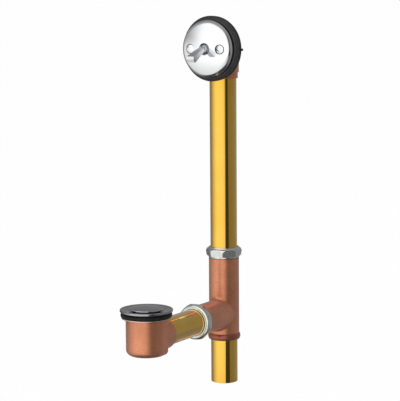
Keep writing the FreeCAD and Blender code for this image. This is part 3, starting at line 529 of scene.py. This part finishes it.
# Face plate: pressed dome with a rolled rim, a pressed cup for each screw, the lever's round hole, and a slot
# below for water. Heights are from the plate's back.
facePlate = {
    "rim": 40.0, "rimTop": 0.6, "shoulder": (38.0, 4.3), "edge": (34.8, 6.31), "depth": 10.2, "dome": 157.7,
    "wall": 1.2,
    "rimRoll": [(-0.05, 0.2), (-0.35, 0), (-0.8, 0.05), (-1.1, 0.4)],  # from the rim's radius
    "shoulderIn": (0.75, 0.65), "edgeIn": (0.3, 0.95),  # shares of the wall by which the inside stands back
    "screws": 23.9, "cup": 6.95, "cupFloor": 7.2, "cupWall": 1.1, "cupFlange": 1.3, "cupBevel": 0.6,
    "cupSunk": 0.05, "shank": 3.4, "shankCut": (2, 12),  # a cut's foot and top
    "hole": 8.4, "holeCut": (4, 13),
    "slot": (15.0, 2.4, 6.0), "slotOver": 1,  # half its width, its depth and its height
    "domePoints": 24, "edgePoints": 14,
}


def domeHeight(r):
    return facePlate["depth"] - facePlate["dome"] + math.sqrt(facePlate["dome"] ** 2 - r * r)


def makeFacePlate():
    p = facePlate
    rim, wall, rimTop = p["rim"], p["wall"], p["rimTop"]
    (edge, edgeHeight), (shoulder, shoulderHeight) = p["edge"], p["shoulder"]
    radii = [edge * i / p["domePoints"] for i in range(p["domePoints"] + 1)]
    outside = [(r, domeHeight(r)) for r in radii]
    outside += arcPoints(p["edge"], p["shoulder"], (rim, rimTop), p["edgePoints"])
    innerShoulder = (shoulder - wall * p["shoulderIn"][0], shoulderHeight - wall * p["shoulderIn"][1])
    innerEdge = (edge - wall * p["edgeIn"][0], edgeHeight - wall * p["edgeIn"][1])
    inside = arcPoints((rim - wall, rimTop), innerShoulder, innerEdge, p["edgePoints"])
    inside += [(r, domeHeight(r) - wall) for r in radii[-2::-1]]
    profile = outside + pointsFrom(rim, 0, p["rimRoll"]) + inside
    plate = turnPiece("facePlate", profile, plateChrome, broadSteps, plateCentre, facingBath)

    def roundCutter(name, radius, low, high, steps, place):
        section = [(0, low), (radius, low), (radius, high), (0, high)]
        return turnPiece(name, section, plateChrome, steps, place, facingBath)

    cups, cutters = [], []
    low, flange, bevel = p["cupFloor"] - p["cupWall"], p["cup"] + p["cupFlange"], p["cupBevel"]
    cutFoot, cutTop = p["shankCut"]
    cupSection = [(0, low), (flange - bevel, low), (flange, low + bevel), (flange, cutTop), (0, cutTop)]
    domeSection = [(r, domeHeight(r) - p["cupSunk"]) for r in radii] + [(edge, 1), (0, 1)]
    for side in (-1, 1):
        spot = (side * p["screws"], plateCentre[1], plateCentre[2])
        cup = turnPiece("cup", cupSection, plateChrome, smallSteps, spot, facingBath)
        under = turnPiece("under", domeSection, plateChrome, plainSteps, plateCentre, facingBath)
        cups.append(joinSolids(cup, [under], "INTERSECT"))
        cutters.append(roundCutter("cupHole", p["cup"], p["cupFloor"], cutTop, smallSteps, spot))
        cutters.append(roundCutter("shankHole", p["shank"], cutFoot, cutTop, shankSteps, spot))
    cutters.append(roundCutter("hubHole", p["hole"], *p["holeCut"], smallSteps, plateCentre))
    (slotHalf, slotDepth, slotHeight), over = p["slot"], p["slotOver"]
    back = plateCentre[1]
    below = plateCentre[2] - rim - over
    low, high = (-slotHalf, back - slotDepth, below), (slotHalf, back + over, below + slotHeight)
    cutters.append(boxPiece("slot", low, high, plateChrome))
    joinSolids(plate, cups, "UNION")
    return joinSolids(plate, cutters, "DIFFERENCE")


plate = makeFacePlate()
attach(plate, "waste")
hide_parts("overflow_face_plate")
print("face plate made", len(plate.data.polygons), "faces")

# Screws: oval heads with a crossed slot, on a thin dark rubber ring that shows as a ring in the cup: painted shade
# for the shadowed gap round each head
plateScrew = {
    "head": 6.05, "edge": 7.62, "crown": 8.68, "rise": 0.25, "under": 4.7, "shank": 2.8, "tip": -23.4,
    "point": 1, "crownIn": 0.25, "crownPoints": 14,
    "headEdge": [(-0.08, 0.12), (0, -0.05), (-0.1, -0.2)],  # from the head's radius and edge
    "neck": [(0.5, 0.3), (0, -0.2)],  # from the shank's radius and the head's underside
    "slotLength": 6.6, "slotWidth": 1.5, "slotDepth": 1.6, "slotOver": 2,
    "washer": (3.5, 6.85), "washerThick": 0.16, "washerLift": 0.02,
}


def makeScrews():
    s = plateScrew
    reach, fall, count = s["head"] - s["crownIn"], s["crown"] - s["edge"] - s["rise"], s["crownPoints"]
    radii = [reach * i / count for i in range(count + 1)]
    crown = [(r, s["crown"] - fall * (r / reach) ** 2) for r in radii]
    side = pointsFrom(s["head"], s["edge"], s["headEdge"]) + pointsFrom(s["shank"], s["under"], s["neck"])
    side += [(s["shank"], s["tip"] + s["point"]), (s["shank"] - s["point"], s["tip"]), (0, s["tip"])]
    screw = turnPiece("screw", crown + side, plateChrome, smallSteps)
    cutters = []
    for long, short in ((s["slotLength"], s["slotWidth"]), (s["slotWidth"], s["slotLength"])):
        low = (-long / 2, -short / 2, s["crown"] - s["slotDepth"])
        high = (long / 2, short / 2, s["crown"] + s["slotOver"])
        cutters.append(boxPiece("crossSlot", low, high, plateChrome))
    joinSolids(screw, cutters, "DIFFERENCE")
    # the dark ring under each head is painted shade for the gap round it
    inner, outer = s["washer"]
    low = facePlate["cupFloor"] + s["washerLift"]
    top = low + s["washerThick"]
    section = [(inner, low), (outer, low), (outer, top), (inner, top), (inner, low)]
    washer = turnPiece("washer", section, rubber, smallSteps)
    return (pairPiece("plateScrews", screw, facePlate["screws"], plateChrome),
            pairPiece("screwShadeRings", washer, facePlate["screws"], rubber))


screws, screwShadeRings = makeScrews()
for piece, slotName in ((screws, "chromed_screw"), (screwShadeRings, "black_rubber")):
    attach(piece, "waste")
    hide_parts("face_plate_screws")

# Lever boss: domed collar round the pivot, which shows in the plate's hole; its angles run up from straight ahead
leverBoss = {
    "radius": 7.7, "halfWidth": 5.3, "hub": 3.2, "from": -62.0, "to": 100.0, "pivot": (0, -46.0, 480.4),
    "across": 24, "around": 48,
}


def makeBoss():
    b = leverBoss
    across, around = b["across"], b["around"]
    widths = [b["halfWidth"] * (2 * i / across - 1) for i in range(across + 1)]
    section = [(x, math.sqrt(b["radius"] ** 2 - x * x)) for x in widths]
    section += [(x, b["hub"]) for x in reversed(widths)]
    mesh = bpy.data.meshes.new("leverBoss")
    body = bmesh.new()
    rings = []
    for j in range(around + 1):
        angle = math.radians(b["from"] + (b["to"] - b["from"]) * j / around)
        rings.append([body.verts.new([v * millimetre for v in (
            b["pivot"][0] + x, b["pivot"][1] - r * math.cos(angle), b["pivot"][2] + r * math.sin(angle))])
            for x, r in section])
    count = len(section)
    for one, other in zip(rings, rings[1:]):
        for i in range(count):
            body.faces.new((one[i], one[(i + 1) % count], other[(i + 1) % count], other[i]))
    body.faces.new(rings[0][::-1])
    body.faces.new(rings[-1])
    bmesh.ops.recalc_face_normals(body, faces=body.faces)
    body.to_mesh(mesh)
    body.free()
    smoothMesh(mesh, metalCrease)
    mesh.materials.append(leverChrome)
    return addObject("leverBoss", mesh)


boss = makeBoss()
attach(boss, "lever")

# Wall gasket: flared rubber ring with raised ridges round its flare and a moulded tab each side. Heights are from
# its back, towards the bath.
wallGasket = {
    "back": -24.1, "depth": 16.1, "flare": 9.4, "outer": 45.35, "bore": 27.6, "boreEdge": 0.5,
    "backEdge": [(-1, 0), (-0.3, 0.3), (0, 1)],  # from the outer radius
    "groove": 0.35, "groovePoints": 24, "ridges": 3, "ridge": 0.85, "ridgePoints": 12, "ridgeEnd": 41.3,
    "tabReach": 47.75, "tabRoot": 1.5, "tabDepth": 3.4, "tabHalf": 1.7, "tabDrop": 0.9, "tabBevel": 0.5,
    "tabSunk": 0.02,
    # a step under the plate's rim, filled by a collar of the shaded rubber that shows as a black line round the
    # plate: painted shade for the groove under the rim
    "step": 4.6, "stepFloor": 39.1, "stepEdge": (41.0, 0.25), "stepRise": 0.3,
    "collar": 40.2, "collarIn": 39.12, "collarFoot": 0.35, "collarDrop": 0.05,
}


def makeWallGasket():
    g = wallGasket
    outer, bore, depth = g["outer"], g["bore"], g["depth"]
    points, steps = g["groovePoints"], g["ridges"] * g["ridgePoints"]
    barrel, shelf = depth - g["flare"], depth - g["step"]
    profile = [(bore, 0)] + pointsFrom(outer, 0, g["backEdge"])
    start = profile[-1][1]
    for i in range(1, points + 1):  # two shallow grooves round the barrel
        share = i / points
        sunk = g["groove"] * (1 - abs(math.cos(math.pi * share * 2))) ** 2
        profile.append((outer - sunk, start + (barrel - start) * share))
    for i in range(1, steps + 1):  # the ridges of the flare
        share = i / steps
        swell = math.sin(math.pi * (share * g["ridges"] % 1)) ** 0.6 if i < steps else 0.0
        reach = outer + (g["ridgeEnd"] - outer) * share + g["ridge"] * swell
        profile.append((reach, barrel + (g["flare"] - g["step"]) * share))
    edge, rise = g["stepEdge"]
    profile += [(edge, shelf + rise), (g["stepFloor"], shelf + g["stepRise"]), (g["stepFloor"], depth),
                (bore + g["boreEdge"], depth), (bore, depth - g["boreEdge"]), (bore, 0)]
    place = (0, g["back"], plateCentre[2])
    ring = turnPiece("wallGasket", profile, rubber, broadSteps, place, facingBath, rubberCrease)
    tabs = []
    middle = plateCentre[2] - g["tabDrop"]
    for side in (-1, 1):
        low, high = sorted((side * (outer - g["tabRoot"]), side * g["tabReach"]))
        tabs.append(boxPiece("tab", (low, g["back"] - g["tabDepth"], middle - g["tabHalf"]),
                             (high, g["back"] - g["tabSunk"], middle + g["tabHalf"]), rubber, g["tabBevel"]))
    inner, foot, top = g["collarIn"], shelf + g["collarFoot"], depth - g["collarDrop"]
    section = [(inner, foot), (g["collar"], foot), (g["collar"], top), (inner, top), (inner, foot)]
    # the collar in the step, in the shaded rubber: a dark ring of painted shade under the plate's rim
    collar = turnPiece("rimShadeCollar", section, shadedRubber, broadSteps, place, facingBath, rubberCrease)
    return joinSolids(ring, tabs, "UNION", rubberCrease), collar


gasket, rimShadeCollar = makeWallGasket()
for piece in (gasket, rimShadeCollar):
    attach(piece, "waste")
    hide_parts("overflow_gasket")
print("screws, boss and gasket made", len(gasket.data.polygons), "gasket faces")

# Drain: dished flange with an upright polished rim, its rubber ring with a groove under the rim, and the shoe's
# machined lip. Heights are from the flange's top.
drain = {
    "centre": (0, -200.6, 141.1), "bore": 19.0, "thread": 23.3, "threadBevel": 0.8, "foot": -28.3, "seat": -4.8,
    "rim": 35.7, "under": -3.3,
    "rimUnder": [(-2.2, 0), (-0.5, 0.1), (-0.1, 0.45), (0, 0.9)],  # from the rim's radius and underside
    "rimTop": [(0, -0.9), (-0.12, -0.45), (-0.45, -0.12), (-1.1, 0)],  # from the rim's radius
    "dish": (24.6, -1.5), "dishPoints": 8, "dishCurve": 1.3,
    "ringBore": 23.55, "ring": 34.7, "ringFoot": -10.25, "ringGap": 0.05,
    # from the ring's radius and foot
    "ringEdge": [(-1.4, 0), (-0.4, 0.6), (-0.05, 1.6), (0, 2.8), (-0.1, 4.0), (-0.6, 4.9)],
    "neck": 32.6, "neckEdge": [(0.4, 5.3), (0, 5.8)],  # from the ring's foot
    "lip": 33.7, "lipInner": 31.0, "lipLow": -12.15, "lipThick": 1.8,
    "lipEdge": [(-0.5, 0), (-0.1, 0.3), (0, 0.9), (-0.1, 1.5), (-0.5, 1.8)],  # from the lip's foot
}


def makeDrain():
    d = drain
    rim, under, bore, thread, foot = d["rim"], d["under"], d["bore"], d["thread"], d["foot"]
    edge = pointsFrom(rim, under, d["rimUnder"]) + pointsFrom(rim, 0, d["rimTop"])
    flat, (dish, dishDepth), count = edge[-1][0], d["dish"], d["dishPoints"]
    for i in range(1, count + 1):
        share = i / count
        edge.append((flat + (dish - flat) * share, dishDepth * share ** d["dishCurve"]))
    body = [(bore, foot), (thread - d["threadBevel"], foot), (thread, foot + d["threadBevel"]), (thread, under)]
    section = body + edge + [(bore, d["seat"]), (bore, foot)]
    flange = turnPiece("drainFlange", section, drainChrome, drainSteps, d["centre"])
    low, top, inner = d["ringFoot"], under - d["ringGap"], d["ringBore"]
    section = [(inner, low)] + pointsFrom(d["ring"], low, d["ringEdge"])
    section += pointsFrom(d["neck"], low, d["neckEdge"]) + [(d["neck"], top), (inner, top), (inner, low)]
    rubberRing = turnPiece("drainGasket", section, shadedRubber, drainSteps, d["centre"], crease=rubberCrease)
    low, inner = d["lipLow"], d["lipInner"]
    section = [(inner, low)] + pointsFrom(d["lip"], low, d["lipEdge"])
    section += [(inner, low + d["lipThick"]), (inner, low)]
    seatLip = turnPiece("shoeLip", section, machined, drainSteps, d["centre"])
    return flange, rubberRing, seatLip


flange, drainGasket, shoeLip = makeDrain()
for piece, nodeName, slotName in (
        (flange, "drain_flange", "polished_chrome"), (drainGasket, "shoe_gasket", "black_rubber"),
        (shoeLip, None, "cast_brass")):
    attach(piece, "waste")
    if nodeName:
        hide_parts(nodeName)

# Plug: a band round the cap's upright edge, in the face plate's bright chrome and not the cap's dark chrome, is a
# painted highlight along the edge; heights are down from the cap's top
capHighlightBand = {"inner": 21.6, "outer": 22.95, "foot": 2.55, "top": 1.3, "bevel": 0.15}


def makeCapHighlightBand():
    low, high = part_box("stopper_cap")
    crown = high[2] / millimetre
    centre = [(a + b) / 2 / millimetre for a, b in zip(low[:2], high[:2])] + [0]
    inner, outer, bevel = capHighlightBand["inner"], capHighlightBand["outer"], capHighlightBand["bevel"]
    foot, top = crown - capHighlightBand["foot"], crown - capHighlightBand["top"]
    section = [(inner, foot), (outer - bevel, foot), (outer, foot + bevel), (outer, top - bevel),
               (outer - bevel, top), (inner, top), (inner, foot)]
    # the band is in the bright chrome: a painted highlight on the cap's edge
    return turnPiece("capHighlightBand", section, plateChrome, place=centre)


band = makeCapHighlightBand()
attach(band, "plug")

# Tailpiece: plain drawn tube whose end is broken by a small bevel; it is sized down only inside the tee
tailTube = {
    "outer": 19.05, "bore": 17.65, "bevel": 0.3, "neck": 18.8, "neckFrom": 62.2, "neckBevel": 0.3, "points": 20}


def makeTailTube():
    t = tailTube
    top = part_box("tailpiece")[1][2] / millimetre
    outer, bore, bevel = t["outer"], t["bore"], t["bevel"]
    neck, neckFrom, count = t["neck"], t["neckFrom"], t["points"]
    section = [(bore, bevel), (bore + bevel, 0), (outer - bevel, 0), (outer, bevel)]
    section += [(outer, neckFrom * i / count) for i in range(1, count + 1)]
    section += [(neck, neckFrom + t["neckBevel"]), (neck, top), (bore, top), (bore, bevel)]
    return turnPiece("tailTube", section, uprightBrass, broadSteps)


tail = makeTailTube()
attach(tail, "waste")
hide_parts("tailpiece")
print("drain and tailpiece made")

# Camera, matched to the photograph by its fitted angles in degrees and its distance and aim in metres
photoCamera = {
    "azimuth": 32.027, "elevation": 7.914, "roll": -0.415,
    "distance": 2.365235, "aim": (-0.02852, -0.01784, 0.26315),
    "focalPixels": 1656.512, "longSide": 401, "sensor": 36.0, "clip": (0.05, 100),
}


def placeCamera(fit):
    a, e, r = (math.radians(fit[key]) for key in ("azimuth", "elevation", "roll"))
    right = Vector((math.cos(a), math.sin(a), 0))
    back = Vector((math.sin(a) * math.cos(e), -math.cos(a) * math.cos(e), math.sin(e)))
    up = back.cross(right)
    across = right * math.cos(r) + up * math.sin(r)
    upwards = up * math.cos(r) - right * math.sin(r)
    data = bpy.data.cameras.new("photoCamera")
    data.sensor_width = fit["sensor"]
    data.lens = fit["focalPixels"] / fit["longSide"] * fit["sensor"]
    data.clip_start, data.clip_end = fit["clip"]
    camera = addObject("photoCamera", data)
    turn = Matrix((across, upwards, back)).transposed().to_4x4()
    camera.matrix_world = Matrix.Translation(Vector(fit["aim"]) + back * fit["distance"]) @ turn
    scene.camera = camera


placeCamera(photoCamera)

# Studio room that metal mirrors. Directions are degrees round the object, from the bath's side towards the right,
# and heights are degrees above level; a pair of heights is where a change starts and where it is whole.
studioRoom = {
    "fillLevel": 0.62,  # the plain light that reaches everything but mirrors
    "bands": [  # direction, brightness
        (-180, 0.28), (-140, 0.26), (-112, 0.16), (-93, 0.26), (-77, 0.44), (-64, 0.72), (-54, 0.8), (-47, 0.9),
        (-38, 1.04), (-20, 1.12), (8, 1.10), (28, 1.02), (41, 0.92), (48, 0.32), (66, 0.20), (98, 0.235),
        (150, 0.265), (180, 0.28),
    ],
    # a dark card that stands in the room and widens downwards
    "cardAngle": 61.0, "cardHalf": 4.0, "cardSpread": 0.95, "cardEdge": 3.5, "cardLevel": 0.05,
    "cardFoot": (-14.0, -26.0),
    # a soft shade high on the left, which shows in the upper left of the face plate
    "shadeAngle": -68.0, "shadeHalf": 6.0, "shadeEdge": 30.0, "shadeRise": (-4.0, 8.0), "shadeLevel": 0.32,
    "apron": 0.74, "apronRise": (-10.0, -26.0),  # the room is dimmer below the level of the object
    "ceiling": 0.3, "ceilingRise": (34.0, 74.0),
    "ground": 0.05, "groundRise": (-40.0, -58.0),
}


def makeWorld():
    s = studioRoom
    world = bpy.data.worlds.new("studioRoom")
    scene.world = world
    world.use_nodes = True
    world.cycles.sampling_method = "NONE"
    tree = world.node_tree
    tree.nodes.clear()
    coords = addNode(tree, "ShaderNodeTexCoord")
    direction = addNode(tree, "ShaderNodeSeparateXYZ", {}, {0: coords.outputs["Generated"]}).outputs
    path = addNode(tree, "ShaderNodeLightPath").outputs
    values = {**dict(direction.items()), "camera": path["Is Camera Ray"], "glass": path["Is Transmission Ray"]}
    sums = [  # rows as in the turned tree; a smooth step goes from 0 to 1 between two values
        ("ahead", "MULTIPLY", "Y", -1.0), ("turn", "ARCTAN2", "X", "ahead"),
        ("degrees", "MULTIPLY", "turn", 180 / math.pi),
        ("height", "ARCSINE", "Z"), ("rise", "MULTIPLY", "height", 180 / math.pi),
        ("around", "MULTIPLY_ADD", "degrees", 1 / 360, 0.5),
        ("fall", "MULTIPLY", "rise", -1.0), ("below", "MAXIMUM", "fall", 0.0),
        ("cardHalf", "MULTIPLY_ADD", "below", s["cardSpread"], s["cardHalf"]),
        ("cardSide", "SUBTRACT", "degrees", s["cardAngle"]), ("cardAway", "ABSOLUTE", "cardSide"),
        ("offCard", "SUBTRACT", "cardAway", "cardHalf"),
        ("pastEdge", "SMOOTHSTEP", "offCard", 0.0, s["cardEdge"]),
        ("pastFoot", "SMOOTHSTEP", "rise", *s["cardFoot"]), ("cardGone", "MAXIMUM", "pastEdge", "pastFoot"),
        ("shadeSide", "SUBTRACT", "degrees", s["shadeAngle"]), ("shadeAway", "ABSOLUTE", "shadeSide"),
        ("offShade", "SUBTRACT", "shadeAway", s["shadeHalf"]),
        ("shadeGone", "SMOOTHSTEP", "offShade", 0.0, s["shadeEdge"]),
        ("inShade", "SUBTRACT", 1.0, "shadeGone"), ("shadeUp", "SMOOTHSTEP", "rise", *s["shadeRise"]),
        ("shade", "MULTIPLY", "inShade", "shadeUp"),
        ("low", "SMOOTHSTEP", "rise", *s["apronRise"]), ("apron", "MULTIPLY_ADD", "low", s["apron"] - 1.0, 1.0),
        ("ceilingShare", "SMOOTHSTEP", "rise", *s["ceilingRise"]),
        ("groundShare", "SMOOTHSTEP", "rise", *s["groundRise"]),
        ("seen", "MAXIMUM", "camera", "glass"),
    ]
    for key, operation, *terms in sums:
        kind, setting = "ShaderNodeMath", "operation"
        if operation == "SMOOTHSTEP":
            kind, setting = "ShaderNodeMapRange", "interpolation_type"
        values[key] = addNode(tree, kind, {setting: operation}, {
            i: values.get(term, term) for i, term in enumerate(terms)})
    stops = [((angle + 180) / 360, (level, level, level, 1)) for angle, level in s["bands"]]
    wall = addNode(tree, "ShaderNodeValToRGB", {"stops": stops}, {"Fac": values["around"]})
    grey = {key: [s[key]] * 3 + [1] for key in ("cardLevel", "shadeLevel", "ceiling", "ground")}
    withCard = addNode(tree, "ShaderNodeMix", {"data_type": "RGBA"}, {
        0: values["cardGone"], 6: grey["cardLevel"], 7: wall}).outputs[2]
    withShade = addNode(tree, "ShaderNodeMix", {"data_type": "RGBA"}, {
        0: values["shade"], 6: withCard, 7: grey["shadeLevel"]}).outputs[2]
    dimmed = addNode(tree, "ShaderNodeVectorMath", {"operation": "SCALE"}, {
        0: withShade, "Scale": values["apron"]})
    withCeiling = addNode(tree, "ShaderNodeMix", {"data_type": "RGBA"}, {
        0: values["ceilingShare"], 6: dimmed, 7: grey["ceiling"]}).outputs[2]
    withGround = addNode(tree, "ShaderNodeMix", {"data_type": "RGBA"}, {
        0: values["groundShare"], 6: withCeiling, 7: grey["ground"]}).outputs[2]
    room = addNode(tree, "ShaderNodeBackground", {}, {"Color": withGround, "Strength": 1.0})
    fill = addNode(tree, "ShaderNodeBackground", {}, {"Color": (1, 1, 1, 1), "Strength": s["fillLevel"]})
    white = addNode(tree, "ShaderNodeBackground", {}, {"Color": (1, 1, 1, 1), "Strength": 1.0})
    lit = addNode(tree, "ShaderNodeMixShader", {}, {0: path["Is Glossy Ray"], 1: fill, 2: room})
    shown = addNode(tree, "ShaderNodeMixShader", {}, {0: values["seen"], 1: lit, 2: white})
    addNode(tree, "ShaderNodeOutputWorld", {}, {"Surface": shown})


# Lamps: a large key above the left shoulder and a weak one from the right; metal mirrors the room, not them. Their
# sizes and places are in metres.
lamps = {
    "key": {"size": 1.6, "watts": 34.0, "place": (-1.5, -1.9, 2.1)},
    "side": {"size": 1.2, "watts": 4.0, "place": (2.0, -0.9, 1.4)},
}
lampAim = (0, -0.05, 0.25)


def makeLamps():
    for name, lamp in lamps.items():
        data = bpy.data.lights.new(name + "Lamp", "AREA")
        data.shape = "SQUARE"
        data.size = lamp["size"]
        data.energy = lamp["watts"]
        light = addObject(name + "Lamp", data)
        light.location = lamp["place"]
        light.rotation_euler = (Vector(lamp["place"]) - Vector(lampAim)).to_track_quat("Z", "Y").to_euler()
        light.visible_glossy = False


# Floor: matt and pale under the light, nearly white to the camera and to mirrors, and it keeps the shadow. Its drop
# below the part and half its width are in metres.
studioFloor = {"drop": 0.0005, "half": 60.0, "colour": "F4F4F4", "white": 0.975}


def makeFloor():
    half, low = studioFloor["half"], cadLow[2] - studioFloor["drop"]
    mesh = bpy.data.meshes.new("studioFloor")
    corners = [(-half, -half, low), (half, -half, low), (half, half, low), (-half, half, low)]
    mesh.from_pydata(corners, [], [(0, 1, 2, 3)])
    floor = addObject("studioFloor", mesh)
    material = bpy.data.materials.new("paleFloor")
    material.use_nodes = True
    tree = material.node_tree
    tree.nodes.clear()
    matt = addNode(tree, "ShaderNodeBsdfDiffuse", {}, {"Color": toLinear(studioFloor["colour"])})
    white = addNode(tree, "ShaderNodeEmission", {}, {"Color": (1, 1, 1, 1), "Strength": 1.0})
    path = addNode(tree, "ShaderNodeLightPath").outputs
    seen = addNode(tree, "ShaderNodeMath", {"operation": "MAXIMUM"}, {
        0: path["Is Camera Ray"], 1: path["Is Glossy Ray"]})
    share = addNode(tree, "ShaderNodeMath", {"operation": "MULTIPLY"}, {0: seen, 1: studioFloor["white"]})
    mixed = addNode(tree, "ShaderNodeMixShader", {}, {0: share, 1: matt, 2: white})
    addNode(tree, "ShaderNodeOutputMaterial", {}, {"Surface": mixed})
    mesh.materials.append(material)
    floor.visible_glossy = False


makeWorld()
makeLamps()
makeFloor()
print("studio made")
